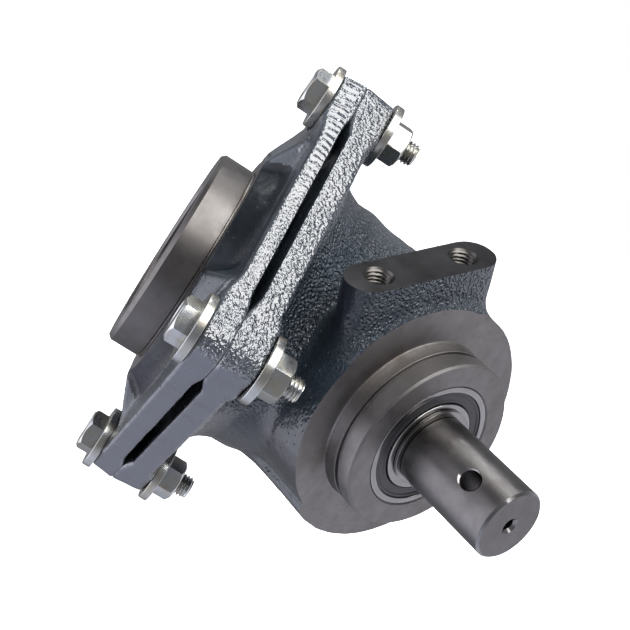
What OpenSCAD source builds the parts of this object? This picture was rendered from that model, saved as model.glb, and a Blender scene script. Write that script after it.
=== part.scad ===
// Bevel gearbox with a 130 degree angle between its two shaft axes.
// The origin is the centre of the machined nose face, on the output shaft axis.
// +X runs out along the output shaft, +Z is square to the plane of both axes.

/* [Shaft lines] */
// angle between the output shaft direction and the input spigot direction, degrees
shaft_angle = 130; // [120:1:140]
// distance from the crossing of the two axes to the nose face
nose_at = 52; // [50:0.5:60]
// distance from the crossing of the two axes to the end of the input spigot
spigot_end_at = 80.5; // [80.5:0.5:90]

/* [Output shaft] */
// output shaft diameter
shaft_d = 30; // [30:1:30]
// length of output shaft beyond the front bearing
shaft_out = 47.5; // [40:0.5:80]
// cross hole diameter
cross_hole_d = 8.2; // [5:0.1:12]
// distance from the shaft end to the cross hole centre
cross_hole_in = 16.6; // [12:0.1:30]
// cross hole direction, degrees from +Z toward -Y
cross_hole_turn = 67; // [0:1:90]

/* [Nose] */
// outside diameter of the register collar
collar_d = 75; // [70:0.5:80]
// height of the register collar above the nose face
collar_h = 16; // [12:0.5:20]
// diameter of the machined nose face
nose_d = 101.5; // [95:0.5:110]

/* [Input side] */
// bore of the hollow input shaft
input_bore_d = 20; // [16:0.5:22]
// spigot diameter
spigot_d = 88; // [84:1:96]
// spigot length
spigot_h = 15; // [8:0.5:18]

/* [Flanges] */
// side of the square of flange bolts
bolt_square = 120; // [112:1:130]
// corner radius of the two flange plates
corner_r = 8; // [6:0.5:10]
// distance from the input axis to each side of the flange plates
plate_half = 71.3; // [70:0.1:75]
// distance from the crossing to the parting face
parting_at = 47; // [47:0.5:48]
// thickness of the input plate
input_plate_t = 10.4; // [9:0.1:14]
// thickness of the main plate
main_plate_t = 13.8; // [11:0.1:18]
// depth of the relief in each plate between the corners
relief = 1.7; // [1:0.1:2.5]

/* [Pad] */
// turn of the threaded pad about the output axis, degrees
pad_turn = 30; // [0:1:45]
// height of the pad face above the output axis
pad_h = 65.5; // [60:0.5:70]
// distance between the two threaded holes
pad_pitch = 40; // [30:0.5:44]
// threaded hole diameter
pad_thread_d = 10; // [6:1:12]

/* [Gears] */
// teeth on each bevel gear
teeth = 18; // [18:1:18]
// module at the large end
gear_m = 4; // [3.9:0.05:4]

/* [Hidden] */
$fn = 96;
cone = shaft_angle / 2;
gear_r = teeth * gear_m / 2;
cone_len = gear_r / sin(cone);
face_w = 12;
bolt_r = bolt_square / sqrt(2);
bearing_face = nose_at + collar_h - 0.2;
shaft_end = bearing_face + shaft_out;

cast_c = [0.20, 0.23, 0.27];
steel_c = [0.55, 0.53, 0.50];
bright_c = [0.80, 0.80, 0.79];
zinc_c = [0.78, 0.78, 0.74];
rubber_c = [0.06, 0.06, 0.07];
gear_c = [0.45, 0.44, 0.43];

// the two shaft lines: local z runs out from the crossing
module on_out() translate([-nose_at, 0, 0]) rotate([0, 90, 0]) children();
module on_in() translate([-nose_at, 0, 0]) rotate([0, 0, -shaft_angle]) rotate([0, 90, 0]) children();
module tube(ro, ri, z0, z1) difference() { translate([0, 0, z0]) cylinder(r = ro, h = z1 - z0); translate([0, 0, z0 - 1]) cylinder(r = ri, h = z1 - z0 + 2); }
module disc(r, z0, z1) translate([0, 0, z0]) cylinder(r = r, h = z1 - z0);
module at_bolts() for (i = [0:3]) rotate([0, 0, 90 * i]) translate([bolt_r, 0, 0]) children();

// square plate with round corners, bolts on the local x and y axes
module plate(z0, z1, rc) translate([0, 0, z0]) linear_extrude(z1 - z0) rotate(45) {
  square([2 * plate_half, 2 * (plate_half - rc)], center = true);
  square([2 * (plate_half - rc), 2 * plate_half], center = true);
  for (x = [-1, 1], y = [-1, 1]) translate([x, y] * (plate_half - rc)) circle(rc);
}
// what is cut from a plate face between its corners
module relief_cut(z0, z1, keep) translate([0, 0, z0]) linear_extrude(z1 - z0) difference() {
  rotate(45) square(bolt_square + 60, center = true);
  for (i = [0:3]) rotate(90 * i) translate([bolt_r, 0]) { circle(keep); translate([0, -keep]) square([40, 2 * keep]); }
}

// ---------- castings ----------
module main_housing() color(cast_c) difference() {
  union() {
    on_in() { difference() { plate(parting_at - main_plate_t, parting_at, corner_r); relief_cut(parting_at - relief, parting_at + 1, 22); relief_cut(parting_at - relief / 2, parting_at + 1, 15); }
      disc(57, 16, parting_at - relief - 2);
      cylinder(r1 = 53.5, r2 = 57, h = 16.1);
      translate([0, 0, parting_at - main_plate_t - 10]) cylinder(r1 = 57, r2 = 62, h = 10.5); }
    translate([-nose_at, 0, 0]) sphere(r = 54);
    on_out() { disc(nose_d / 2, 0, nose_at); disc(collar_d / 2, nose_at - 1, nose_at + 6.4);
      disc(collar_d / 2 - 1.2, nose_at, nose_at + collar_h - 1); disc(collar_d / 2, nose_at + 8.4, nose_at + collar_h - 0.8);
      translate([0, 0, nose_at + collar_h - 0.8]) cylinder(r1 = collar_d / 2, r2 = collar_d / 2 - 0.8, h = 0.8);
      lobe(); }
    pad_boss();
  }
  // register bore and gear room
  on_in() { disc(38.05, 28, 60); at_bolts() disc(5.5, 0, 80); at_bolts() disc(15, 13, parting_at - main_plate_t); }
  translate([-nose_at, 0, 0]) sphere(r = 43);
  on_out() { disc(31, 20, 46); disc(23.5, 40, nose_at + collar_h); disc(27.5, bearing_face - 13, nose_at + collar_h + 1); }
  pad_holes();
}
module lobe() intersection() {
  translate([1.5, 2, 12]) cylinder(r = 53.6, h = nose_at - 12);
  rotate([0, 0, -14.2]) translate([-80, -12, 0]) cube([160, 160, 80]);
}
module pad_boss() translate([-nose_at, 0, 0]) rotate([pad_turn, 0, 0]) translate([nose_at - 11.5, 0, 20]) {
  for (s = [-1, 1]) translate([0, s * 24.5, 0]) cylinder(r = 9.5, h = pad_h - 20);
  translate([-9.5, -24.5, 0]) cube([19, 49, pad_h - 20]);
  intersection() {
    union() { translate([0, -22, 0]) cylinder(r1 = 24, r2 = 9.5, h = pad_h - 22); translate([-4, 10, 0]) cylinder(r1 = 22, r2 = 6, h = pad_h - 22); }
    translate([-60, -60, 0]) cube([69.3, 120, 60]);
  }
}
module pad_holes() translate([-nose_at, 0, 0]) rotate([pad_turn, 0, 0]) for (s = [-1, 1])
  translate([nose_at - 11.5, s * pad_pitch / 2, pad_h - 18]) cylinder(d = pad_thread_d, h = 20);

module input_housing() color(cast_c) on_in() difference() {
  union() {
    difference() { plate(parting_at, parting_at + input_plate_t, corner_r); relief_cut(parting_at - 1, parting_at + relief, 22); relief_cut(parting_at - 1, parting_at + relief / 2, 15); }
    tube(38, 30, 31, parting_at + 4);
    disc(47, parting_at + 2, spigot_end_at - spigot_h);
    disc(spigot_d / 2 - 1, spigot_end_at - spigot_h - 1, spigot_end_at - 1);
    disc(spigot_d / 2, spigot_end_at - spigot_h + 0.8, spigot_end_at - 1.5);
    translate([0, 0, spigot_end_at - 1.5]) cylinder(r1 = spigot_d / 2, r2 = spigot_d / 2 - 1.5, h = 1.5);
    for (i = [0:3]) rotate([0, 0, 90 * i]) rotate([90, 0, 0]) translate([0, 0, -14]) linear_extrude(28)
      polygon([[30, parting_at + 5], [30, spigot_end_at - spigot_h], [44, spigot_end_at - spigot_h - 1.5], [bolt_r - 16, parting_at + input_plate_t], [bolt_r - 16, parting_at + 5]]);
  }
  disc(27, 20, spigot_end_at + 1);
  disc(31, 20, 47);
  disc(31, 53, spigot_end_at + 1);
  disc(32.5, 67, 68.6);
  at_bolts() disc(5.5, 0, 90);
  tube(39, 36.2, 38.4, 41.4);
}

// ---------- flange fasteners ----------
head_seat = parting_at + input_plate_t;
nut_seat = parting_at - main_plate_t;
washer_t = 3.4;
module hexagon(af, h) cylinder(d = af / cos(30), h = h, $fn = 6);
module flange_bolts() color(zinc_c) on_in() at_bolts() {
  disc(5, nut_seat - 17.2, head_seat + washer_t + 0.5);
  translate([0, 0, head_seat + washer_t]) intersection() { hexagon(16, 6.4); translate([0, 0, -0.5]) cylinder(r1 = 9.9, r2 = 8.2, h = 6.9); }
}
module head_washers() color(zinc_c) on_in() at_bolts() tube(13.6, 5, head_seat, head_seat + washer_t);
module nut_washers() color(zinc_c) on_in() at_bolts() tube(13.6, 5, nut_seat - washer_t, nut_seat);
module flange_nuts() color(zinc_c) on_in() at_bolts() difference() {
  translate([0, 0, nut_seat - washer_t - 8]) intersection() { hexagon(16, 8); cylinder(r1 = 8.2, r2 = 10.6, h = 8); }
  disc(5, 0, 60);
}
module register_o_ring() color(rubber_c) on_in() translate([0, 0, 39.9]) rotate_extrude() translate([37.12, 0]) circle(r = 0.9);

// ---------- bearings: bore, outside, width, ball circle, ball, shoulders ----------
module outer_ring(z, ro, w, rp, rb, rs) color(bright_c) difference() { tube(ro, rs, z, z + w); translate([0, 0, z + w / 2]) rotate_extrude() translate([rp, 0]) circle(r = rb + 0.04); }
module inner_ring(z, ri, w, rp, rb, rs) color(bright_c) difference() { tube(rs, ri, z, z + w); translate([0, 0, z + w / 2]) rotate_extrude() translate([rp, 0]) circle(r = rb + 0.04); }
module balls(z, w, rp, rb, n) color(bright_c) for (i = [0:n - 1]) rotate([0, 0, 360 / n * i]) translate([rp, 0, z + w / 2]) sphere(r = rb);
module cage(z, w, rp, rb, n) color([0.62, 0.55, 0.38]) difference() {
  tube(rp + 0.9, rp - 0.9, z + w / 2 - rb * 1.22, z + w / 2 + rb * 1.22);
  for (i = [0:n - 1]) rotate([0, 0, 360 / n * i]) translate([rp - 5, 0, z + w / 2]) rotate([0, 90, 0]) cylinder(r = rb + 0.05, h = 10);
}
fb = bearing_face - 13;
module front_bearing_outer_ring() on_out() outer_ring(fb, 27.5, 13, 21.25, 3.57, 24.9);
module front_bearing_inner_ring() on_out() inner_ring(fb, 15, 13, 21.25, 3.57, 19.6);
module front_bearing_balls() on_out() balls(fb, 13, 21.25, 3.57, 11);
module front_bearing_cage() on_out() cage(fb, 13, 21.25, 3.57, 11);
module front_bearing_seals() color(rubber_c) on_out() { tube(24.9, 19.7, fb + 0.5, fb + 1.7); tube(24.9, 19.7, fb + 11.3, fb + 12.5); }
module rear_bearing_outer_ring() on_out() outer_ring(30, 31, 16, 23, 4.76, 26.4);
module rear_bearing_inner_ring() on_out() inner_ring(30, 15, 16, 23, 4.76, 20.2);
module rear_bearing_balls() on_out() balls(30, 16, 23, 4.76, 9);
module rear_bearing_cage() on_out() cage(30, 16, 23, 4.76, 9);
module outer_input_bearing_outer_ring() on_in() outer_ring(53, 31, 14, 24.25, 3.97, 27.2);
module outer_input_bearing_inner_ring() on_in() inner_ring(53, 17.5, 14, 24.25, 3.97, 21.8);
module outer_input_bearing_balls() on_in() balls(53, 14, 24.25, 3.97, 11);
module outer_input_bearing_cage() on_in() cage(53, 14, 24.25, 3.97, 11);
module inner_input_bearing_outer_ring() on_in() outer_ring(33, 31, 14, 24.25, 3.97, 27.2);
module inner_input_bearing_inner_ring() on_in() inner_ring(33, 17.5, 14, 24.25, 3.97, 21.8);
module inner_input_bearing_balls() on_in() balls(33, 14, 24.25, 3.97, 11);
module inner_input_bearing_cage() on_in() cage(33, 14, 24.25, 3.97, 11);

// ---------- gears ----------
function off_pt(k, o) = [k * (gear_r + o * gear_m * cos(cone)), k * (gear_r / tan(cone) - o * gear_m * sin(cone))];
ki = (cone_len - face_w) / cone_len;
thin = 0.36;
module half_space() rotate([0, 0, atan((PI * gear_m / 4 + thin) / cone_len)]) rotate([20, 0, 0]) translate([0, -60, -30]) cube([60, 60, 60]);
module gap() rotate([0, cone - 90, 0]) intersection() { mirror([0, 1, 0]) half_space(); half_space(); }
module bevel(bore, hub_r, hub_end, phase) difference() {
  union() {
    difference() {
      rotate_extrude() polygon([off_pt(1, 1), off_pt(ki, 1), off_pt(ki, -1.35), off_pt(1, -1.35)]);
      for (i = [0:teeth - 1]) rotate([0, 0, 360 / teeth * (i + phase)]) gap();
    }
    rotate_extrude() polygon([[bore - 2, 12], [21, 12], off_pt(ki - 0.03, -1.2), off_pt(0.985, -1.2), off_pt(0.985, -2.7), [hub_r, 27.5], [hub_r, hub_end], [bore - 2, hub_end]]);
  }
  disc(bore, 0, 60);
}
module output_gear() color(gear_c) on_out() difference() { bevel(15, 22, 30, 0.5); translate([-4, 0, 0]) cube([8, 18.3, 60]); }
module input_gear() color(gear_c) on_in() difference() { bevel(17.5, 23.5, 33, 0); translate([-5, 0, 0]) cube([10, 20.8, 60]); }
module output_gear_key() color(gear_c) on_out() translate([-4, 11, 13]) cube([8, 7, 16]);
module input_gear_key() color(gear_c) on_in() translate([-5, 12.5, 14]) cube([10, 8, 17]);

// ---------- shafts ----------
module output_shaft() color(steel_c) on_out() difference() {
  union() { disc(15, 8.7, shaft_end - 1); translate([0, 0, shaft_end - 1]) cylinder(r1 = 15, r2 = 14, h = 1); }
  tube(17, 14.3, 10.2, 11.8);
  tube(17, 14.3, bearing_face + 0.1, bearing_face + 1.7);
  translate([-4, 11, 13]) cube([8, 7, 16]);
  rotate([0, 0, cross_hole_turn]) translate([-20, 0, shaft_end - cross_hole_in]) rotate([0, 90, 0]) cylinder(d = cross_hole_d, h = 40);
  disc(2.5, shaft_end - 8, shaft_end + 1);
  translate([0, 0, shaft_end - 2]) cylinder(r1 = 2.5, r2 = 3.5, h = 2.05);
}
module output_spacer() color(steel_c) on_out() tube(18.5, 15, 46, fb);
module circlip(r_in, r_out, z, ang, gap_a) translate([0, 0, z]) rotate([0, 0, ang]) difference() {
  linear_extrude(1.5) difference() { circle(r_out); circle(r_in); polygon([[0, 0], [60, -60 * tan(gap_a / 2)], [60, 60 * tan(gap_a / 2)]]); }
}
module output_outer_circlip() color(bright_c) on_out() circlip(14.3, 18.4, bearing_face + 0.15, 40, 24);
module output_inner_circlip() color(bright_c) on_out() circlip(14.3, 18.4, 10.25, 0, 24);
module input_shaft() color(steel_c) on_in() difference() {
  disc(17.5, 9.9, 77);
  tube(20, 16.6, 10.4, 11.95);
  tube(20, 16.6, 67.05, 68.6);
  translate([-5, 12.5, 14]) cube([10, 8, 17]);
  disc(input_bore_d / 2, 38, 78);
  translate([0, -3, 42]) cube([input_bore_d / 2 + 2.8, 6, 40]);
  translate([0, 0, 76]) cylinder(r1 = input_bore_d / 2, r2 = input_bore_d / 2 + 1.1, h = 1.1);
}
module input_spacer() color(steel_c) on_in() tube(20.5, 17.5, 47, 53);
module input_shaft_circlip() color(bright_c) on_in() circlip(16.6, 20.6, 67.05, 90, 24);
module input_inner_circlip() color(bright_c) on_in() circlip(16.6, 20.6, 10.42, 0, 24);
module input_bore_circlip() color(bright_c) on_in() circlip(27.6, 32.5, 67.05, 90, 20);
module input_seal() color(rubber_c) on_in() difference() { tube(31, 17.55, 70, 77); translate([0, 0, 73]) rotate_extrude() polygon([[20.5, 0], [28.5, 0], [28.5, 5], [20.5, 5]]); }

main_housing();
input_housing();
flange_bolts();
head_washers();
nut_washers();
flange_nuts();
register_o_ring();
output_shaft();
output_gear();
output_gear_key();
output_spacer();
output_outer_circlip();
output_inner_circlip();
front_bearing_outer_ring();
front_bearing_inner_ring();
front_bearing_balls();
front_bearing_cage();
front_bearing_seals();
rear_bearing_outer_ring();
rear_bearing_inner_ring();
rear_bearing_balls();
rear_bearing_cage();
input_shaft();
input_gear();
input_gear_key();
input_spacer();
input_shaft_circlip();
input_inner_circlip();
input_bore_circlip();
input_seal();
outer_input_bearing_outer_ring();
outer_input_bearing_inner_ring();
outer_input_bearing_balls();
outer_input_bearing_cage();
inner_input_bearing_outer_ring();
inner_input_bearing_inner_ring();
inner_input_bearing_balls();
inner_input_bearing_cage();
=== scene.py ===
import math

import bmesh
import bpy
import numpy as np
from mathutils import Matrix, Vector, noise


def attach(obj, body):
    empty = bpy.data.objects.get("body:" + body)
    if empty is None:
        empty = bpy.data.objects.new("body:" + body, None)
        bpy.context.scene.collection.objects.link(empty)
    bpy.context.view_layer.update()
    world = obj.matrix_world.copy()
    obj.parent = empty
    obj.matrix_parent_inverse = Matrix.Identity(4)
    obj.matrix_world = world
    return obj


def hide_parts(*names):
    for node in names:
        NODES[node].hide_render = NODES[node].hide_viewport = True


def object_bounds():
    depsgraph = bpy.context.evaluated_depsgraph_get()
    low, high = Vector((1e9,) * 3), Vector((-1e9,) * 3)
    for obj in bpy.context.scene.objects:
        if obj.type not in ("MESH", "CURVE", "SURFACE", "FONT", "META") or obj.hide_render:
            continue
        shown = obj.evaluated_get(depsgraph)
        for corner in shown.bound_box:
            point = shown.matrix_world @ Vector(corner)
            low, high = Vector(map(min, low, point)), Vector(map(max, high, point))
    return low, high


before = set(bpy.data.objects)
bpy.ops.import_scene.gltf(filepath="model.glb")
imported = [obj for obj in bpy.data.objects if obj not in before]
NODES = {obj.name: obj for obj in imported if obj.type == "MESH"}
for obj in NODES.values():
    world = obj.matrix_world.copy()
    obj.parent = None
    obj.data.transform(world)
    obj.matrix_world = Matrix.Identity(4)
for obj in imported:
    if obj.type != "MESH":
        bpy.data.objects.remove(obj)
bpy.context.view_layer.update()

scene = bpy.context.scene

# ---------------------------------------------------------------- camera
# the model's own frame: +X out along the output shaft, +Z square to both axes
cam_data = bpy.data.cameras.new("camera")
cam_data.lens = 1300 * 36 / 630
cam_data.sensor_width = 36
cam_data.clip_start = 0.01
cam_data.clip_end = 50
cam = bpy.data.objects.new("camera", cam_data)
scene.collection.objects.link(cam)
cam.matrix_world = Matrix(
    (
        (0.55069836, -0.53504996, 0.64066594, 0.282867),
        (0.62771716, -0.24044649, -0.74037602, -0.407167),
        (0.55018404, 0.80988087, 0.20344655, 0.117711),
        (0, 0, 0, 1),
    )
)
scene.camera = cam

# ---------------------------------------------------------------- frames, in millimetres
APEX = np.array([-52.0, 0.0, 0.0])
TURN = math.radians(130)
CA, SA = math.cos(TURN), math.sin(TURN)
OUT = np.array([[0, 0, -1.0], [0, 1.0, 0], [1.0, 0, 0]])
INP = np.array([[0, 0, -1.0], [SA, CA, 0], [CA, -SA, 0]])
PAD_T = math.radians(30)
PC, PS = math.cos(PAD_T), math.sin(PAD_T)
BOLT_R = 120 / math.sqrt(2)


def place(P, fr, origin=APEX):
    P = np.asarray(P, float)
    return origin + P @ fr


# ---------------------------------------------------------------- mesh helpers
def signed_volume(V, F):
    total = 0.0
    for f in F:
        a = V[f[0]]
        for i in range(1, len(f) - 1):
            total += np.dot(a, np.cross(V[f[i]], V[f[i + 1]]))
    return total / 6


def make(name, V, F, index=None, mats=(), flip_test=True):
    V = np.asarray(V, float)
    if isinstance(F, np.ndarray):
        faces = F.tolist()
    else:
        faces = [tuple(f) for f in F]
    if flip_test and signed_volume(V, faces) < 0:
        faces = [tuple(reversed(f)) for f in faces]
    me = bpy.data.meshes.new(name)
    me.from_pydata(V.tolist(), [], faces)
    for m in mats:
        me.materials.append(m)
    if index is not None:
        me.polygons.foreach_set(
            "material_index",
            np.full(len(faces), index, np.int32)
            if np.isscalar(index)
            else np.asarray(index, np.int32),
        )
    me.update()
    ob = bpy.data.objects.new(name, me)
    scene.collection.objects.link(ob)
    return ob


def lathe(name, prof, fr=OUT, seg=96, index=0, mats=(), origin=APEX, turn=0.0):
    """A closed (radius, height) outline turned about the local z axis."""
    V, rings, F, idx = [], [], [], []
    t = np.arange(seg) / seg * 2 * math.pi + turn
    for r, z in prof:
        if r < 1e-6:
            rings.append([len(V)])
            V.append((0.0, 0.0, z))
        else:
            rings.append(list(range(len(V), len(V) + seg)))
            V += list(zip(r * np.cos(t), r * np.sin(t), [z] * seg))
    n = len(prof)
    for i in range(n):
        a, b = rings[i], rings[(i + 1) % n]
        k = index[i] if isinstance(index, (list, tuple)) else index
        if len(a) == 1 and len(b) == 1:
            continue
        for j in range(seg):
            j2 = (j + 1) % seg
            if len(a) == 1:
                F.append((a[0], b[j2], b[j]))
            elif len(b) == 1:
                F.append((a[j], a[j2], b[0]))
            else:
                F.append((a[j], a[j2], b[j2], b[j]))
            idx.append(k)
    return make(name, place(V, fr, origin), F, idx, mats)


def soft(prof, r, n=3):
    """Rounds the corners of a closed outline by about r."""
    P = [np.array(p, float) for p in prof]
    out = []
    for i, c in enumerate(P):
        a, b = P[i - 1], P[(i + 1) % len(P)]
        if c[0] < 1e-6:
            out.append(tuple(c))
            continue
        la, lb = np.linalg.norm(a - c), np.linalg.norm(b - c)
        t = min(r, 0.42 * la, 0.42 * lb)
        da, db = (a - c) / la, (b - c) / lb
        if abs(np.dot(da, db)) > 0.995:
            out.append(tuple(c))
            continue
        A, B = c + da * t, c + db * t
        for k in range(n + 1):
            s = k / n
            out.append(tuple((1 - s) ** 2 * A + 2 * s * (1 - s) * c + s * s * B))
    return out


def box_mesh(name, lo, hi, fr, origin, index=0, mats=()):
    x0, y0, z0 = lo
    x1, y1, z1 = hi
    V = [(x, y, z) for x in (x0, x1) for y in (y0, y1) for z in (z0, z1)]
    F = [(0, 1, 3, 2), (4, 6, 7, 5), (0, 4, 5, 1), (2, 3, 7, 6), (0, 2, 6, 4), (1, 5, 7, 3)]
    return make(name, place(V, fr, origin), F, index, mats)


def tri_wave(x):
    x = x - np.floor(x)
    return np.where(x < 0.5, 2 * x, 2 - 2 * x)


def thread(name, radius_at, depth_at, pitch, z0, z1, fr, origin, seg=48, per=10, index=0, mats=()):
    """A closed bar whose side is a screw thread: radius_at and depth_at give the crest radius and the groove depth along z."""
    nz = int(round((z1 - z0) / pitch * per)) + 1
    z = np.linspace(z0, z1, nz)
    t = np.arange(seg) / seg * 2 * math.pi
    Z, T = np.meshgrid(z, t, indexing="ij")
    w = tri_wave(Z / pitch - T / (2 * math.pi))
    w = np.clip(w * 1.25 - 0.08, 0, 1)
    R = radius_at(Z) - depth_at(Z) * w
    V = np.stack([R * np.cos(T), R * np.sin(T), Z], -1).reshape(-1, 3)
    i, j = np.meshgrid(np.arange(nz - 1), np.arange(seg), indexing="ij")
    j2 = (j + 1) % seg
    F = np.stack([i * seg + j, i * seg + j2, (i + 1) * seg + j2, (i + 1) * seg + j], -1).reshape(-1, 4).tolist()
    F.append(tuple(reversed(range(seg))))
    F.append(tuple(range((nz - 1) * seg, nz * seg)))
    return make(name, place(V, fr, origin), F, index, mats)


def bake(ob):
    dg = bpy.context.evaluated_depsgraph_get()
    me = bpy.data.meshes.new_from_object(
        ob.evaluated_get(dg), preserve_all_data_layers=True, depsgraph=dg
    )
    ob.modifiers.clear()
    old = ob.data
    ob.data = me
    bpy.data.meshes.remove(old)
    return ob


def drop(ob):
    me = ob.data
    bpy.data.objects.remove(ob)
    if me.users == 0:
        bpy.data.meshes.remove(me)


def boolean(ob, cutters, op="DIFFERENCE", keep=False):
    for c in cutters:
        before = (len(ob.data.vertices), len(ob.data.polygons))
        for solver in ("MANIFOLD", "EXACT"):
            m = ob.modifiers.new("b", "BOOLEAN")
            m.operation = op
            m.solver = solver
            m.object = c
            copy = ob.data.copy()
            bake(ob)
            if len(ob.data.polygons) and (len(ob.data.vertices), len(ob.data.polygons)) != before:
                bpy.data.meshes.remove(copy)
                break
            print("boolean", solver, "did nothing on", ob.name, "with", c.name)
            old = ob.data
            ob.data = copy
            bpy.data.meshes.remove(old)
        if not keep:
            drop(c)
    return ob


def modifier(ob, kind, **values):
    m = ob.modifiers.new(kind.lower(), kind)
    for k, v in values.items():
        setattr(m, k, v)
    return m


def finish_piece(ob, body, sharp=32.0, replaces=(), scale=True):
    """Millimetres to metres, smooth faces with sharp creases, and the body it rides on."""
    if scale:
        ob.data.transform(Matrix.Scale(0.001, 4))
    ob.data.shade_smooth()
    ob.data.set_sharp_from_angle(angle=math.radians(sharp))
    if "flat" in ob:
        idx = np.empty(len(ob.data.polygons), np.int32)
        ob.data.polygons.foreach_get("material_index", idx)
        ob.data.polygons.foreach_set("use_smooth", ~np.isin(idx, list(ob["flat"])))
        del ob["flat"]
    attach(ob, body)
    if replaces:
        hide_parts(*replaces)
    return ob


# ---------------------------------------------------------------- distance fields, in millimetres
def smin(a, b, k):
    h = np.clip(0.5 + 0.5 * (b - a) / k, 0, 1)
    return b * (1 - h) + a * h - k * h * (1 - h)


def smax(a, b, k):
    return -smin(-a, -b, k)


def corner(x, y, e):
    """Inside both x < 0 and y < 0, with the outer edge rounded by e."""
    x, y = x + e, y + e
    return np.minimum(np.maximum(x, y), 0) + np.hypot(np.maximum(x, 0), np.maximum(y, 0)) - e


def band(h, h0, h1):
    return np.abs(h - (h0 + h1) / 2) - (h1 - h0) / 2


def capcyl(r, h, R, h0, h1, e=0.3):
    return corner(r - R, band(h, h0, h1), e)


def square2(s1, s2, half, rc):
    x, y = np.abs(s1) - (half - rc), np.abs(s2) - (half - rc)
    return np.hypot(np.maximum(x, 0), np.maximum(y, 0)) + np.minimum(np.maximum(x, y), 0) - rc


def step(x):
    x = np.clip(x, 0, 1)
    return x * x * (3 - 2 * x)


def convex2(x, y, pts):
    d = None
    n = len(pts)
    for i in range(n):
        (x0, y0), (x1, y1) = pts[i], pts[(i + 1) % n]
        ex, ey = x1 - x0, y1 - y0
        L = math.hypot(ex, ey)
        s = ((x - x0) * ey - (y - y0) * ex) / L
        d = s if d is None else np.maximum(d, s)
    return d


def local(x, y, z):
    b = x + 52.0
    a = b * CA - y * SA
    u = b * SA + y * CA
    return b, a, u


def bolt_distance(u, z):
    g = np.maximum(np.abs(u), np.abs(z))
    t = np.minimum(np.abs(u), np.abs(z))
    return np.hypot(g - BOLT_R, t)


def land(D, depth, r, run):
    """How far a plate face stands back outside the round land of radius r at each bolt."""
    return depth * step((D - r) / run)


def main_field(x, y, z):
    b, a, u = local(x, y, z)
    ro, ri = np.hypot(y, z), np.hypot(u, z)
    s1, s2 = (u + z) / math.sqrt(2), (u - z) / math.sqrt(2)
    d = np.sqrt(b * b + y * y + z * z) - 53.5
    rin = 53.2 + 3.4 * step(a / 18.0) + 5.0 * np.clip((a - 23.2) / 10.3, 0, 1) ** 1.3
    d = smin(d, capcyl(ri, a, rin, 0.0, 44.0, 1.0), 3.0)
    nose = capcyl(ro, b, 50.75, 0.0, 60.0, 1.0)
    lobe = np.hypot(y - 2.0, z + 1.5) - 53.6
    lobe = smax(lobe, -12.0 + 0.2453 * z - 0.9694 * y, 3.0)
    lobe = corner(lobe, band(b, 12.0, 60.0), 2.0)
    nose = smin(nose, lobe, 1.2)
    d = smin(d, nose, 5.0)
    # pad boss with its flared skirts
    c, h, n = b - 40.5, y * PC + z * PS, -y * PS + z * PC
    pad = corner(np.hypot(np.maximum(np.abs(h) - 24.5, 0), c) - 9.5, band(n, 20.0, 71.0), 0.6)
    k1 = (np.hypot(c, h + 22.0) - (24.0 - n / 3.0)) * 0.949
    k2 = (np.hypot(c + 4.0, h - 10.0) - (22.0 - 0.368 * n)) * 0.938
    sk = smin(corner(k1, band(n, 0.0, 43.5), 1.0), corner(k2, band(n, 0.0, 43.5), 1.0), 6.0)
    sk = smax(sk, c - 9.3, 2.0)
    d = smin(d, smin(pad, sk, 5.0), 6.0)
    # flange plate, standing back between its corners on both faces
    D = bolt_distance(u, z)
    top = 47.3 - land(D, 2.4, 12.2, 9.0)
    lo = 33.2 + land(D, 1.7, 14.0, 6.0)
    pl = corner(square2(s1, s2, 71.3 - 0.07 * np.clip(47.0 - a, 0, 20), 8.0), np.maximum(lo - a, a - top), 1.7)
    d = smin(d, pl, 7.0)
    # the collar's blank
    d = np.minimum(d, capcyl(ro, b, 39.5, 40.0, 71.0, 0.5))
    return d


def input_field(x, y, z):
    b, a, u = local(x, y, z)
    ri = np.hypot(u, z)
    s1, s2 = (u + z) / math.sqrt(2), (u - z) / math.sqrt(2)
    D = bolt_distance(u, z)
    low = 46.7 + land(D, 1.45, 12.2, 8.0)
    up = 57.4 - land(D, 0.4, 14.6, 5.0) - land(D, 1.9, 17.0, 9.0) * step((s1 - 45.0) / 12.0)
    d = corner(square2(s1, s2, 71.3 - 0.09 * np.clip(a - 47.0, 0, 20), 8.0), np.maximum(low - a, a - up), 1.4)
    # the boss under the spigot, with a web out to each bolt
    boss = corner((ri - (49.0 + 0.74 * np.clip(66.3 - a, 0, 20))) * 0.80, band(a, 49.0, 66.3), 1.2)
    g = np.maximum(np.abs(u), np.abs(z))
    t = np.minimum(np.abs(u), np.abs(z))
    rib2 = convex2(g, a, [(30, 52), (69.5, 52), (69.5, 57.4), (53.0, 65.2), (46.0, 66.2), (30, 66.2)])
    rib = corner(rib2, (t - (10.5 + 0.85 * np.clip(66.3 - a, 0, 20))) * 0.76, 1.5)
    d = smin(d, smin(boss, rib, 2.5), 3.0)
    d = np.minimum(d, capcyl(ri, a, 45.2, 60.0, 83.0, 0.5))
    d = np.minimum(d, capcyl(ri, a, 39.5, 28.0, 52.0, 0.5))
    return d


def gradient(f, P, e=0.03):
    x, y, z = P.T
    d0 = f(x, y, z)
    g = np.stack([f(x + e, y, z) - d0, f(x, y + e, z) - d0, f(x, y, z + e) - d0], -1) / e
    return d0, g


# the grid lies square to the flange plates, so that their edges come out clean
R2 = math.sqrt(0.5)
GRID = np.array([[SA * R2, CA * R2, -R2], [SA * R2, CA * R2, R2], [CA, -SA, 0.0]])


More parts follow.
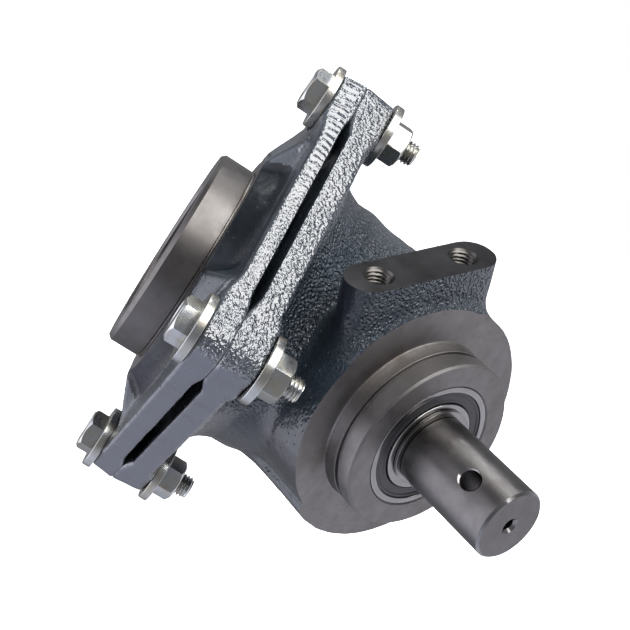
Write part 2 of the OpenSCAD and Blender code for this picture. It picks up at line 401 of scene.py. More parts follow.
def surface_net(field, lo, hi, h):
    """A quad mesh of the surface field = 0, with each vertex moved onto it. lo and hi are in the grid's own axes."""

    def f(p, q, r):
        return field(
            APEX[0] + p * GRID[0, 0] + q * GRID[1, 0] + r * GRID[2, 0],
            APEX[1] + p * GRID[0, 1] + q * GRID[1, 1] + r * GRID[2, 1],
            APEX[2] + p * GRID[0, 2] + q * GRID[1, 2] + r * GRID[2, 2],
        )

    lo, hi = np.asarray(lo, float), np.asarray(hi, float)
    n = np.ceil((hi - lo) / h).astype(int) + 1
    ax = [lo[i] + np.arange(n[i]) * h for i in range(3)]
    D = np.empty(n, np.float32)
    for i0 in range(0, n[0], 16):
        X, Y, Z = np.meshgrid(ax[0][i0 : i0 + 16], ax[1], ax[2], indexing="ij")
        D[i0 : i0 + 16] = f(X, Y, Z)
    S = D < 0
    cells, pos, quads, order = [], [], [], []
    strides = np.array([(n[1]) * (n[2]), n[2], 1], np.int64)
    for axis in range(3):
        a = [slice(None)] * 3
        b = [slice(None)] * 3
        a[axis], b[axis] = slice(0, -1), slice(1, None)
        m = S[tuple(a)] != S[tuple(b)]
        I = np.argwhere(m)
        d0 = D[tuple(a)][m].astype(float)
        d1 = D[tuple(b)][m].astype(float)
        t = d0 / (d0 - d1)
        p = lo + I * h
        p[:, axis] += t * h
        u, v = [(1, 2), (2, 0), (0, 1)][axis]
        base = I @ strides
        c = [base - strides[u] - strides[v], base - strides[v], base, base - strides[u]]
        for k in c:
            cells.append(k)
            pos.append(p)
        q = np.stack(c, -1)
        q[d0 >= 0] = q[d0 >= 0][:, ::-1]
        quads.append(q)
    cells, pos, quads = np.concatenate(cells), np.concatenate(pos), np.concatenate(quads)
    ids, inv = np.unique(cells, return_inverse=True)
    cnt = np.bincount(inv).astype(float)
    V = np.stack([np.bincount(inv, weights=pos[:, k]) / cnt for k in range(3)], -1)
    F = np.searchsorted(ids, quads)
    for _ in range(4):
        d, g = gradient(f, V)
        s = np.clip(d, -0.6 * h, 0.6 * h) / np.maximum((g * g).sum(-1), 0.25)
        V = V - g * s[:, None]
    return APEX + V @ GRID, F


def roughen(V, f, parts, seed, keep=None):
    """Moves the cast skin in and out, as a sand mould leaves it."""
    _, g = gradient(f, V)
    g /= np.maximum(np.linalg.norm(g, axis=1), 1e-6)[:, None]
    amount = np.zeros(len(V))
    for size, height in parts:
        s = 1.0 / size
        amount += height * np.array(
            [noise.noise((p[0] * s + seed, p[1] * s, p[2] * s)) for p in V.tolist()]
        )
    if keep is not None:
        amount *= keep
    return V + g * amount[:, None]


# ---------------------------------------------------------------- materials
class Graph:
    def __init__(self, name):
        self.mat = bpy.data.materials.new(name)
        self.mat.use_nodes = True
        self.t = self.mat.node_tree
        self.t.nodes.clear()
        self.out = self.add("ShaderNodeOutputMaterial")
        self.b = self.add("ShaderNodeBsdfPrincipled")
        self.link(self.b.outputs[0], self.out.inputs[0])
        self.tc = self.add("ShaderNodeTexCoord").outputs["Object"]

    def add(self, kind, **values):
        n = self.t.nodes.new(kind)
        for k, v in values.items():
            setattr(n, k, v)
        return n

    def link(self, a, b):
        self.t.links.new(a, b)

    def put(self, socket, v):
        if isinstance(v, bpy.types.NodeSocket):
            self.link(v, socket)
        elif isinstance(v, (tuple, list)) and len(v) == 3 and socket.type == "RGBA":
            socket.default_value = (*v, 1)
        else:
            socket.default_value = v

    def noise(self, scale, detail=2.0, rough=0.5, vec=None, dist=0.0):
        n = self.add("ShaderNodeTexNoise")
        n.inputs["Scale"].default_value = scale
        n.inputs["Detail"].default_value = detail
        n.inputs["Roughness"].default_value = rough
        n.inputs["Distortion"].default_value = dist
        self.link(vec or self.tc, n.inputs["Vector"])
        return n.outputs[0]

    def voronoi(self, scale, feature="F1", vec=None, rand=1.0):
        n = self.add("ShaderNodeTexVoronoi", feature=feature)
        n.inputs["Scale"].default_value = scale
        n.inputs["Randomness"].default_value = rand
        self.link(vec or self.tc, n.inputs["Vector"])
        return n.outputs["Distance"]

    def math(self, op, a, b=0.0, c=0.0, clamp=False):
        n = self.add("ShaderNodeMath", operation=op, use_clamp=clamp)
        self.put(n.inputs[0], a)
        self.put(n.inputs[1], b)
        if len(n.inputs) > 2:
            self.put(n.inputs[2], c)
        return n.outputs[0]

    def vmath(self, op, a, b=None, s=None):
        n = self.add("ShaderNodeVectorMath", operation=op)
        self.put(n.inputs[0], a)
        if b is not None:
            self.put(n.inputs[1], b)
        if s is not None:
            self.put(n.inputs["Scale"], s)
        return n.outputs["Value"] if op in ("DOT_PRODUCT", "LENGTH", "DISTANCE") else n.outputs["Vector"]

    def ramp(self, v, lo, hi, a=0.0, b=1.0):
        n = self.add("ShaderNodeMapRange", clamp=True)
        self.put(n.inputs["Value"], v)
        n.inputs["From Min"].default_value = lo
        n.inputs["From Max"].default_value = hi
        n.inputs["To Min"].default_value = a
        n.inputs["To Max"].default_value = b
        return n.outputs[0]

    def mix(self, f, a, b):
        n = self.add("ShaderNodeMix", data_type="RGBA")
        self.put(n.inputs[0], f)
        self.put(n.inputs[6], a)
        self.put(n.inputs[7], b)
        return n.outputs[2]

    def bump(self, height, distance, strength=1.0, normal=None):
        n = self.add("ShaderNodeBump")
        self.put(n.inputs["Height"], height)
        n.inputs["Distance"].default_value = distance
        self.put(n.inputs["Strength"], strength)
        if normal is not None:
            self.link(normal, n.inputs["Normal"])
        return n.outputs[0]

    def combine(self, x, y, z):
        n = self.add("ShaderNodeCombineXYZ")
        for s, v in zip(n.inputs, (x, y, z)):
            self.put(s, v)
        return n.outputs[0]

    def polar(self, axis, origin=(-0.052, 0.0, 0.0)):
        """Radius, height and angle about an axis through the crossing, in metres and radians."""
        rel = self.vmath("SUBTRACT", self.tc, origin)
        h = self.vmath("DOT_PRODUCT", rel, axis)
        rad = self.vmath("SUBTRACT", rel, self.vmath("SCALE", axis, s=h))
        r = self.vmath("LENGTH", rad)
        e1 = (0.0, 0.0, -1.0)
        e2 = tuple(np.cross(axis, e1))
        ang = self.math("ARCTAN2", self.vmath("DOT_PRODUCT", rad, e2), self.vmath("DOT_PRODUCT", rad, e1))
        return r, h, ang

    def done(self, color=None, rough=None, metal=0.0, normal=None, **more):
        if color is not None:
            self.put(self.b.inputs["Base Color"], color)
        if rough is not None:
            self.put(self.b.inputs["Roughness"], rough)
        self.put(self.b.inputs["Metallic"], metal)
        if normal is not None:
            self.link(normal, self.b.inputs["Normal"])
        for k, v in more.items():
            self.put(self.b.inputs[k.replace("_", " ")], v)
        return self.mat


def casting_material(name, ior, level, coat, dark=1.0, relief=0.0010, tone=1.0):
    g = Graph(name)
    grain = g.noise(880, 1.0, 0.35)
    sand = g.voronoi(760, "SMOOTH_F1")
    lump = g.noise(300, 2.0, 0.5)
    pit = g.voronoi(430)
    blotch = g.noise(38, 3.0, 0.55)
    # the undersides, which the mould left smooth; the same mask also gives them a painted violet fill light in the base
    # colour below
    nrm = g.add("ShaderNodeNewGeometry").outputs["Normal"]
    up = g.vmath("DOT_PRODUCT", nrm, (0.12, -0.05, 0.99))
    up = g.math("ADD", up, g.ramp(g.noise(60, 2.0), 0.3, 0.7, -0.12, 0.12))
    rough_side = g.ramp(up, -0.45, -0.08, 0.10, 1.0)
    # the input flange's outer side came from the smooth half of the mould
    smooth_half = g.ramp(g.vmath("DOT_PRODUCT", nrm, (CA, -SA, 0.0)), 0.30, 0.50, 1.0, 0.22)
    rough_side = g.math("MULTIPLY", rough_side, smooth_half)
    patch = g.ramp(blotch, 0.30, 0.62, 0.60, 1.0)
    amount = g.math("MULTIPLY", rough_side, patch)
    height = g.math("ADD", g.math("MULTIPLY", grain, 0.9), g.math("MULTIPLY", lump, 0.35))
    height = g.math("ADD", height, g.math("MULTIPLY", sand, 0.55))
    # the pattern's draw marks down one edge of the input flange
    rel = g.vmath("SUBTRACT", g.tc, (-0.052, 0.0, 0.0))
    along = g.vmath("DOT_PRODUCT", rel, tuple(GRID[0]))
    out = g.vmath("DOT_PRODUCT", rel, tuple(GRID[1]))
    high = g.vmath("DOT_PRODUCT", rel, tuple(GRID[2]))
    wob = g.math("MULTIPLY", g.noise(110, 2.0, 0.6), 11.0)
    flute = g.math("SINE", g.math("ADD", g.math("MULTIPLY", along, 2 * math.pi / 0.0030), wob))
    mark = g.math("MULTIPLY", g.ramp(out, 0.0690, 0.0702), g.ramp(high, 0.0478, 0.0490))
    mark = g.math("MULTIPLY", mark, g.ramp(along, -0.036, 0.012, 1.0, 0.0))
    height = g.math("MULTIPLY", height, g.math("SUBTRACT", 1.0, g.math("MULTIPLY", mark, 0.80)))
    height = g.math("ADD", height, g.math("MULTIPLY", g.math("MULTIPLY", flute, mark), 0.19))
    pits = g.math("MULTIPLY", g.ramp(pit, 0.10, 0.20, 1.0, 0.0), g.ramp(g.noise(120, 2.0, 0.6), 0.52, 0.60))
    # the boss on the input flange is smooth too
    amount = g.math("MULTIPLY", amount, g.ramp(high, 0.0576, 0.0600, 1.0, 0.25))
    normal = g.bump(height, relief, amount)
    normal = g.bump(g.math("SUBTRACT", 1.0, pits), 0.00035, 0.9, normal)
    # the top-side colour; tone below 1 darkens it all over as painted shade, as on the boss
    base = g.mix(g.ramp(blotch, 0.35, 0.7), *[tuple(c * tone for c in col) for col in ((0.012, 0.019, 0.027), (0.033, 0.047, 0.062))])
    # painted light: the undersides take a violet-blue colour that stands in for the soft fill from below; dark below 1
    # darkens it further as painted shade, as on the body and the boss
    painted_underside_light = g.mix(g.ramp(g.noise(24, 3.0, 0.6), 0.35, 0.7), tuple(c * dark for c in (0.020, 0.026, 0.066)), tuple(c * dark for c in (0.014, 0.022, 0.046)))
    base = g.mix(g.ramp(up, -0.50, -0.12, 0.0, 1.0), painted_underside_light, base)
    # the pits are darkened in colour as well: painted shade in the pits
    base = g.mix(g.math("MULTIPLY", pits, 0.85), base, (0.010, 0.010, 0.012))
    # small chips down to bare iron
    chip = g.math("MULTIPLY", g.ramp(g.noise(210, 2.0, 0.6), 0.70, 0.73), g.ramp(blotch, 0.5, 0.6))
    base = g.mix(g.math("MULTIPLY", chip, 0.7), base, (0.10, 0.085, 0.070))
    rough = g.math("ADD", g.ramp(g.noise(500, 1.0), 0.3, 0.7, 0.15, 0.25), g.ramp(up, -0.42, -0.05, 0.18, 0.0))
    rough = g.math("ADD", rough, g.ramp(smooth_half, 0.22, 1.0, 0.12, 0.0))
    m = g.done(base, rough, 0.0, normal, Specular_IOR_Level=level, IOR=ior, Coat_Weight=coat, Coat_Roughness=0.12)
    g.link(normal, g.b.inputs["Coat Normal"])
    return m


def turned_material(name, axis, base, stain, rough=0.40, lines=5200, depth=0.00006, rust=None, origin=(-0.052, 0.0, 0.0)):
    g = Graph(name)
    r, h, ang = g.polar(axis, origin)
    coord = g.combine(g.math("MULTIPLY", r, lines), g.math("MULTIPLY", h, lines), g.math("MULTIPLY", ang, 1.4))
    line = g.noise(1.0, 2.0, 0.6, vec=coord)
    coarse = g.noise(1.0, 1.0, 0.5, vec=g.combine(g.math("MULTIPLY", r, 900), g.math("MULTIPLY", h, 900), g.math("MULTIPLY", ang, 0.8)))
    blotch = g.noise(55, 4.0, 0.6)
    smear = g.noise(180, 3.0, 0.6)
    col = g.mix(g.ramp(blotch, 0.32, 0.72), base, stain)
    dark = tuple(c * 0.62 for c in base)
    col = g.mix(g.ramp(line, 0.55, 0.85, 0.0, 0.45), col, dark)
    col = g.mix(g.ramp(smear, 0.62, 0.80, 0.0, 0.35), col, dark)
    if rust:
        r0, h0, width = rust
        near = g.math("SQRT", g.math("ADD", g.math("POWER", g.math("SUBTRACT", r, r0), 2.0), g.math("POWER", g.math("SUBTRACT", h, h0), 2.0)))
        mask = g.ramp(near, 0.0005, width, 1.0, 0.0)
        mask = g.math("MULTIPLY", mask, g.ramp(g.noise(34, 4.0, 0.7), 0.46, 0.70, 0.0, 0.6))
        col = g.mix(mask, col, (0.085, 0.052, 0.030))
        grow = g.math("MULTIPLY", mask, 0.3)
        rgh = g.math("ADD", g.ramp(smear, 0.3, 0.7, rough - 0.06, rough + 0.08), grow)
    else:
        rgh = g.ramp(smear, 0.3, 0.7, rough - 0.06, rough + 0.08)
    height = g.math("ADD", g.math("MULTIPLY", line, 0.6), g.math("MULTIPLY", coarse, 0.8))
    return g.done(col, rgh, 1.0, g.bump(height, depth, 0.8), Anisotropic=0.35)


def milled_material(name, direction, base, stain, rough=0.42):
    g = Graph(name)
    along = g.vmath("DOT_PRODUCT", g.tc, direction)
    stretched = g.vmath("ADD", g.vmath("SCALE", g.tc, s=90.0), g.vmath("SCALE", direction, s=g.math("MULTIPLY", along, 3600.0)))
    line = g.noise(1.0, 2.0, 0.6, vec=stretched)
    blotch = g.noise(70, 4.0, 0.6)
    fleck = g.noise(420, 2.0, 0.6)
    col = g.mix(g.ramp(blotch, 0.3, 0.72), base, stain)
    col = g.mix(g.ramp(line, 0.5, 0.8, 0.0, 0.4), col, tuple(c * 0.6 for c in base))
    col = g.mix(g.ramp(fleck, 0.66, 0.74, 0.0, 0.5), col, tuple(min(1, c * 1.7) for c in base))
    rgh = g.ramp(blotch, 0.3, 0.7, rough - 0.05, rough + 0.1)
    return g.done(col, rgh, 1.0, g.bump(line, 0.00005, 0.7))


def zinc_material(name="zinc_plate", tint=0.5):
    g = Graph(name)
    blotch = g.noise(170, 3.0, 0.6)
    fine = g.noise(1400, 2.0, 0.6)
    col = g.mix(g.ramp(blotch, 0.35, 0.68), (0.50, 0.51, 0.51), (0.42, 0.395, 0.325))
    col = g.mix(g.ramp(g.noise(95, 2.0), 0.52, 0.72, 0.0, 0.6), col, (0.40, 0.44, 0.48))
    col = g.mix(g.ramp(g.noise(330, 3.0, 0.7), 0.66, 0.80, 0.0, 0.7), col, (0.17, 0.16, 0.13))
    rgh = g.ramp(blotch, 0.3, 0.7, 0.20, 0.36)
    return g.done(col, rgh, 1.0, g.bump(fine, 0.00004, 0.5))


def plain_steel(name, base, rough, grain=1200, depth=0.00002, metal=1.0, tint=None):
    g = Graph(name)
    n1 = g.noise(grain, 2.0, 0.6)
    n2 = g.noise(90, 3.0, 0.6)
    col = g.mix(g.ramp(n2, 0.3, 0.7), base, tint or tuple(c * 0.8 for c in base))
    rgh = g.ramp(n2, 0.3, 0.7, max(0.05, rough - 0.05), rough + 0.06)
    return g.done(col, rgh, metal, g.bump(n1, depth, 0.6))


def rubber_material():
    g = Graph("seal_rubber")
    n1 = g.noise(1600, 2.0, 0.6)
    n2 = g.noise(120, 3.0, 0.6)
    col = g.mix(g.ramp(n2, 0.35, 0.7), (0.012, 0.012, 0.014), (0.028, 0.027, 0.030))
    return g.done(col, g.ramp(n2, 0.3, 0.7, 0.34, 0.5), 0.0, g.bump(n1, 0.00003, 0.5))


AX_OUT = (1.0, 0.0, 0.0)
AX_IN = (CA, -SA, 0.0)
CAST = casting_material("casting_paint", 1.75, 1.0, 0.5)
# BODY keeps the paint's top side but darkens its undersides to 0.3 as painted shade; BOSS_SHADED darkens the whole
# colour to 0.3 as painted shade on the boss flank
BODY = casting_material("casting_paint_body", 1.45, 0.40, 0.60, 0.3, 0.0026)
BOSS_SHADED = casting_material("casting_paint_boss_shaded", 1.40, 0.30, 0.06, 0.3, 0.0008, 0.3)
NOSE = turned_material("turned_nose", AX_OUT, (0.205, 0.195, 0.188), (0.152, 0.143, 0.136), 0.46, rust=(0.0378, 0.0525, 0.0075))
SPIG = turned_material("turned_spigot", AX_IN, (0.165, 0.155, 0.148), (0.122, 0.112, 0.106), 0.38, lines=4200, rust=(0.0440, 0.0660, 0.0024))
MILL = milled_material("milled_flat", (0.0, PC, PS), (0.0090, 0.0086, 0.0088), (0.0068, 0.0064, 0.0066))
BORE = turned_material("bored_hole", AX_OUT, (0.14, 0.13, 0.125), (0.10, 0.09, 0.085), 0.35)
BARE = milled_material("parting_faces", (SA, CA, 0.0), (0.14, 0.13, 0.125), (0.10, 0.09, 0.085))
THREAD = plain_steel("tapped_thread", (0.12, 0.112, 0.104), 0.28)
ZINC = zinc_material()
SHAFT = turned_material("ground_shaft", AX_OUT, (0.148, 0.143, 0.140), (0.112, 0.104, 0.099), 0.35, lines=7000, depth=0.00004)
SHAFT_IN = turned_material("input_shaft_steel", AX_IN, (0.17, 0.165, 0.16), (0.13, 0.12, 0.11), 0.32, lines=6000, depth=0.00004)
BRIGHT = plain_steel("bearing_steel", (0.27, 0.262, 0.255), 0.19)
CLIP = plain_steel("spring_steel", (0.26, 0.25, 0.24), 0.22, tint=(0.18, 0.17, 0.16))
GEAR = plain_steel("gear_steel", (0.24, 0.235, 0.23), 0.30, grain=800)
RUBBER = rubber_material()
BRASS = plain_steel("cage_brass", (0.52, 0.40, 0.20), 0.28)
HOUSE_MATS = [CAST, NOSE, SPIG, MILL, BORE, BARE, THREAD, BODY, BOSS_SHADED]

# ---------------------------------------------------------------- the two castings
H = 1.1


def thread_cutter(centre, fr, r, depth_end, top):
    return thread(
        "cut",
        lambda Z: r + np.clip((Z - (top - 1.1)), 0, 2) * 0.9 + 0.0 * Z,
        lambda Z: 0.75 * np.clip((top - 0.8 - Z) / 1.0, 0, 1) * np.clip((Z - depth_end) / 1.5, 0, 1),
        1.5,
        depth_end,
        top + 1.5,
        fr,
        centre,
        48,
        10,
        6,
        HOUSE_MATS,
    )


def grade(ob, limit, above=False):
    """Flat shading on the milled and parting faces; off the flange plate's sides the duller paint, with painted shade
    on its undersides, and on the boss the copy darkened all over as painted shade.
    """
    me = ob.data
    n = len(me.polygons)
    idx = np.empty(n, np.int32)
    me.polygons.foreach_get("material_index", idx)
    c = np.empty(n * 3, np.float32)
    me.polygons.foreach_get("center", c)
    q = c.reshape(-1, 3) - APEX
    a = q @ GRID[2]
    r = np.hypot(q @ GRID[0], q @ GRID[1])
    me.polygons.foreach_get("normal", c)
    face = c.reshape(-1, 3) @ GRID[2]
    boss = above & (a > 53.0) & (r < 53.1 + 0.74 * (66.3 - a)) & (face < 0.93)
    if above:
        dull_and_shaded = (a > limit) | (face > 0.75) | ((a > 53.0) & (r < 66.0))
    else:
        dull_and_shaded = a < limit
    # painted shade: the boss takes the paint darkened all over, the other faces off the plate's sides the duller paint
    # with darkened undersides
    idx[(idx == 0) & boss] = 8
    idx[(idx == 0) & dull_and_shaded] = 7
    me.polygons.foreach_set("material_index", idx)
    ob["flat"] = [3, 5]


def build_main():
    V, F = surface_net(main_field, (-74, -74, -87), (83, 91, 49), H)
    V = roughen(V, main_field, [(9.0, 0.22), (3.2, 0.12)], 3.1)
    ob = make("main_casting", V, F, 0, HOUSE_MATS, flip_test=False)
    pad_fr = np.array([[1.0, 0, 0], [0, PC, PS], [0, -PS, PC]])
    cut = [
        # the parting face
        lathe("cut", [(0, 47), (115, 47), (115, 58), (0, 58)], INP, 64, 5, HOUSE_MATS),
        # nose face and register collar, with its snap groove and front chamfer
        lathe(
            "cut",
            [(90, 52), (38.6, 52), (37.85, 52.25), (37.5, 53.0), (37.5, 58.2), (37.3, 58.4), (36.3, 58.4), (36.3, 60.4), (37.3, 60.4), (37.5, 60.6),
             (37.5, 67.1), (36.7, 67.95), (0, 67.95), (0, 82), (90, 82)],
            OUT, 192, 1, HOUSE_MATS,
        ),
        lathe("cut", [(0, 28), (38.05, 28), (38.05, 46.2), (38.9, 47.05), (38.9, 58), (0, 58)], INP, 144, 2, HOUSE_MATS),
        lathe("cut", [(43 * math.sin(math.pi * k / 40) if 0 < k < 40 else 0, -43 * math.cos(math.pi * k / 40)) for k in range(41)], INP, 96, 0, HOUSE_MATS),
        lathe(
            "cut",
            [(0, 20), (31, 20), (31, 46), (23.5, 46), (23.5, 54.8), (27.5, 54.8), (27.5, 67.3), (28.15, 68.0), (28.15, 72), (0, 72)],
            OUT, 144, 1, HOUSE_MATS,
        ),
        # the pad's machined face
        box_mesh("cut", (-16, -38, 65.5), (16, 38, 76), pad_fr, APEX + np.array([40.5, 0, 0]), 3, HOUSE_MATS),
    ]
    for s in (-1, 1):
        o = APEX + np.array([40.5, 0, 0]) + np.array([0, PC, PS]) * 20.0 * s
        cut.append(thread_cutter(o, pad_fr, 5.0, 47.5, 65.5))
    for k in range(4):
        t = math.radians(90 * k)
        o = APEX + np.array([math.cos(t), math.sin(t), 0]) @ INP * BOLT_R
        cut.append(lathe("cut", [(0, 20), (5.5, 20), (5.5, 60), (0, 60)], INP, 40, 4, HOUSE_MATS, origin=o))
        cut.append(lathe("cut", [(0, 8), (15.0, 8), (15.0, 33.2), (0, 33.2)], INP, 64, 0, HOUSE_MATS, origin=o))
    boolean(ob, cut)
    grade(ob, 32.2)
    return ob


def build_input():
    V, F = surface_net(input_field, (-74, -74, 27), (74, 74, 84.5), H * 0.87)
    V = roughen(V, input_field, [(9.0, 0.20), (3.2, 0.10)], 11.7)
    ob = make("input_casting", V, F, 0, HOUSE_MATS, flip_test=False)
    cut = [
        # parting face and register sleeve, with its O-ring groove
        lathe(
            "cut",
            [(115, 20), (0, 20), (0, 31), (37.2, 31), (38, 31.8), (38, 38.4), (36.2, 38.4), (36.2, 41.4), (38, 41.4), (38, 47), (115, 47)],
            INP, 144, 2, HOUSE_MATS,
        ),
        # spigot, with its root groove and end chamfer
        lathe(
            "cut",
            [(70, 65.5), (43.2, 65.5), (43.0, 65.8), (43.0, 66.3), (44, 66.7), (44, 78.9), (42.6, 80.5), (0, 80.5), (0, 95), (70, 95)],
            INP, 192, 2, HOUSE_MATS,
        ),
        lathe(
            "cut",
            [(0, 20), (31, 20), (31, 47), (27, 47), (27, 53), (31, 53), (31, 67), (32.5, 67), (32.5, 68.6), (31, 68.6), (31, 79.5), (32.1, 80.6), (32.1, 86), (0, 86)],
            INP, 144, 2, HOUSE_MATS,
        ),
    ]
    for k in range(4):
        t = math.radians(90 * k)
        o = APEX + np.array([math.cos(t), math.sin(t), 0]) @ INP * BOLT_R
        cut.append(lathe("cut", [(0, 30), (5.5, 30), (5.5, 75), (0, 75)], INP, 40, 4, HOUSE_MATS, origin=o))
        cut.append(lathe("cut", [(0, 57.4), (14.6, 57.4), (14.6, 80), (0, 80)], INP, 64, 0, HOUSE_MATS, origin=o))
    boolean(ob, cut)
    grade(ob, 58.0, above=True)
    return ob


main = build_main()
finish_piece(main, "housing", 38, ["main_housing"])
inp = build_input()
finish_piece(inp, "housing", 38, ["input_housing"])

# ---------------------------------------------------------------- fasteners
SEAT_HEAD, SEAT_NUT, WASHER = 57.4, 33.2, 3.4
BOLT_AT = [np.array([math.cos(math.radians(90 * k)), math.sin(math.radians(90 * k)), 0]) @ INP * BOLT_R for k in range(4)]
HEX_TURN = [8.0, 21.0, 2.0, 14.0]
NUT_TURN = [16.0, 4.0, 24.0, 10.0]


def hexagon(name, af, z0, z1, turn, fr, origin, mats):
    R = af / math.sqrt(3)
    t = [math.radians(60 * k + turn) for k in range(6)]
    V = [(R * math.cos(x), R * math.sin(x), z) for z in (z0, z1) for x in t]
    F = [tuple(reversed(range(6))), tuple(range(6, 12))] + [(k, (k + 1) % 6, 6 + (k + 1) % 6, 6 + k) for k in range(6)]
    return make(name, place(V, fr, origin), F, 0, mats)


def join(objects, name):
    bm = bmesh.new()
    for o in objects:
        bm.from_mesh(o.data)
    me = bpy.data.meshes.new(name)
    bm.to_mesh(me)
    bm.free()
    for m in objects[0].data.materials:
        me.materials.append(m)
    ob = bpy.data.objects.new(name, me)
    scene.collection.objects.link(ob)
    for o in objects:
        drop(o)
    return ob


def bolt(k):
    o = APEX + BOLT_AT[k]
    z0 = SEAT_HEAD + WASHER
    head = hexagon("bolt", 16.0, z0, z0 + 6.4, HEX_TURN[k], INP, o, [ZINC])
    boolean(head, [lathe("c", [(0, z0 - 1), (12, z0 - 1), (9.95, z0), (9.95, z0 + 4.7), (7.7, z0 + 6.4), (6.6, z0 + 6.4), (6.2, z0 + 6.1), (0, z0 + 6.1)], INP, 72, 0, [ZINC], origin=o)], "INTERSECT")
    modifier(head, "BEVEL", width=0.22, segments=2, limit_method="ANGLE", angle_limit=math.radians(32), harden_normals=False)
    bake(head)
    tip = SEAT_NUT - 17.2
    shank = thread(
        "s",
        lambda Z: np.minimum(4.92, 3.9 + (Z - tip) * 0.9),
        lambda Z: 0.86 * np.clip((SEAT_NUT + 3 - Z) / 2.0, 0, 1) * np.clip((Z - tip) / 1.0, 0, 1),
        1.5,
        tip,
        z0 + 1.0,
        INP,
        o,
        44,
        9,
        0,
        [ZINC],
    )
    boolean(head, [shank], "UNION")
    return head


def nut(k):
    o = APEX + BOLT_AT[k]
    z1 = SEAT_NUT - WASHER
    z0 = z1 - 8.0
    n = hexagon("nut", 16.0, z0, z1, NUT_TURN[k], INP, o, [ZINC])
    boolean(n, [lathe("c", [(0, z0), (7.5, z0), (9.6, z0 + 1.4), (9.6, z1 - 0.5), (8.7, z1), (0, z1)], INP, 72, 0, [ZINC], origin=o)], "INTERSECT")
    modifier(n, "BEVEL", width=0.25, segments=2, limit_method="ANGLE", angle_limit=math.radians(32))
    bake(n)
    boolean(n, [lathe("c", [(0, z0 - 1), (6.3, z0 - 1), (5.0, z0 + 0.9), (5.0, z1 + 1), (0, z1 + 1)], INP, 44, 0, [ZINC], origin=o)])
    return n


def washer(k, z0, z1):
    o = APEX + BOLT_AT[k]
    return lathe("w", soft([(5.3, z0), (13.6, z0), (13.6, z1), (5.3, z1)], 0.45, 3), INP, 72, 0, [ZINC], origin=o)


finish_piece(join([bolt(k) for k in range(4)], "bolts"), "housing", 30, ["flange_bolts"])
finish_piece(join([nut(k) for k in range(4)], "nuts"), "housing", 30, ["flange_nuts"])
finish_piece(join([washer(k, SEAT_HEAD, SEAT_HEAD + WASHER) for k in range(4)], "washers_head_side"), "housing", 30, ["head_washers"])
finish_piece(join([washer(k, SEAT_NUT - WASHER, SEAT_NUT) for k in range(4)], "washers_nut_side"), "housing", 30, ["nut_washers"])

# ---------------------------------------------------------------- front bearing and output shaft
FB = 54.8
SH = [SHAFT, BRIGHT, BORE]
END = 115.3


def build_shaft():
    prof = [(0, 8.7), (14.3, 8.7), (15, 9.4), (15, 10.2), (14.3, 10.2), (14.3, 11.8), (15, 11.8), (15, 67.9), (14.3, 67.9), (14.3, 69.5), (14.75, 69.5), (15, 69.8),
            (15, END - 1.0), (14.1, END), (0, END)]
    idx = [0] * (len(prof))
    idx[12] = 1
    s = lathe("output_shaft_ground", prof, OUT, 160, idx, SH)
    t = math.radians(67)
    d = np.array([math.cos(t), math.sin(t), 0]) @ OUT
    e = np.array([0, 0, 1.0]) @ OUT
    f = np.cross(d, e)
    fr = np.array([e, f, d])
    if np.linalg.det(fr) < 0:
        fr = np.array([f, e, d])
    o = APEX + np.array([98.7, 0, 0])
    cut = [
        lathe("c", [(0, -20), (4.1, -20), (4.1, 20), (0, 20)], fr, 64, 2, SH, origin=o),
        lathe("c", [(0, 12.6), (3.9, 13.9), (5.4, 15.4), (5.4, 20), (0, 20)], fr, 64, 1, SH, origin=o),
        lathe("c", [(0, -20), (5.4, -20), (5.4, -15.4), (3.9, -13.9), (0, -12.6)], fr, 64, 1, SH, origin=o),
        lathe("c", [(0, END - 9.4), (2.5, END - 8), (2.5, END - 1.3), (3.6, END + 0.05), (3.6, END + 2), (0, END + 2)], OUT, 48, 1, SH),
        box_mesh("c", (-4, 11, 13), (4, 19, 29), OUT, APEX, 0, SH),
    ]
    boolean(s, cut)
    return s


finish_piece(build_shaft(), "output", 24, ["output_shaft"])


def ring(name, ro, ri, z0, w, rp, rb, outer, fr, mats, edge=0.7):
    """A bearing ring with its ball track and rounded corners."""
    zc = z0 + w / 2
    shoulder = ri if outer else ro
    reach = abs(shoulder - rp)
    half = math.degrees(math.acos(min(1, reach / rb)))
    angles = np.linspace(-half, half, 9)
    track = [
        (rp + (1 if outer else -1) * rb * math.cos(math.radians(t)), zc + rb * math.sin(math.radians(t)))
        for t in angles
    ]
    if outer:
        prof = soft([(ri, z0), (ro, z0), (ro, z0 + w), (ri, z0 + w)], edge, 4)
        # the track comes between the last corner and the first
        prof = prof + track[::-1]
    else:
        prof = soft([(ro, z0 + w), (ri, z0 + w), (ri, z0), (ro, z0)], edge, 4)
        prof = prof + track
    return lathe(name, prof, fr, 144, 0, mats)


finish_piece(ring("front_ring_outer", 27.5, 24.9, FB, 13, 21.25, 3.61, True, OUT, [BRIGHT]), "housing", 28, ["front_bearing_outer_ring"])
finish_piece(ring("front_ring_inner", 19.6, 15.0, FB, 13, 21.25, 3.61, False, OUT, [BRIGHT]), "output", 28, ["front_bearing_inner_ring"])


def seal(name):
    z = FB + 12.5
    front = [(24.85, z - 1.2), (24.85, z - 0.25), (24.3, z), (23.6, z), (23.2, z - 0.35), (21.4, z - 0.35), (21.0, z - 0.1), (20.3, z - 0.1), (19.75, z - 0.5), (19.75, z - 1.2)]
    z = FB + 0.5
    back = [(19.75, z + 1.2), (19.75, z + 0.5), (20.3, z + 0.1), (21.0, z + 0.1), (21.4, z + 0.35), (23.2, z + 0.35), (23.6, z), (24.3, z), (24.85, z + 0.25), (24.85, z + 1.2)]
    return join([lathe("a", front, OUT, 144, 0, [RUBBER]), lathe("b", back, OUT, 144, 0, [RUBBER])], name)


finish_piece(seal("front_seals"), "housing", 28, ["front_bearing_seals"])


